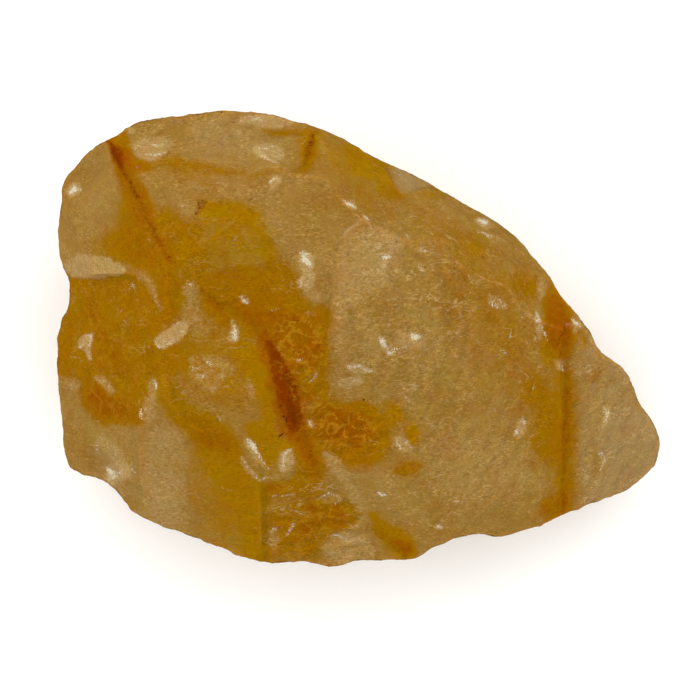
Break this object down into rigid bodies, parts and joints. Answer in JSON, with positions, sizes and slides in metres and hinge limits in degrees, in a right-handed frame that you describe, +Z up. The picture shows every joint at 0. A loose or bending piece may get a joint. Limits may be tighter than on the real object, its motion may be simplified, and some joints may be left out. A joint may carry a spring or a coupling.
{
  "type": "raw golden healer quartz",
  "caption": "Rough hand-sized piece of golden healer quartz: a broken, iron-stained, translucent natural stone with conchoidal faces, lying on its flat base.",
  "frame": {"origin": "on the flat base it rests on, under the middle of its length and width", "axes": "+X along its length towards the narrow tip, +Y across its width, +Z up through its thickness, away from the flat base"},
  "size_m": [0.084, 0.0628, 0.0346],
  "materials": {
    "golden_quartz": "rough translucent quartz, glassy breaks stained golden by iron oxide"
  },
  "bodies": {
    "root": {"quartz_stone": "golden_quartz"}
  },
  "joints": []
}
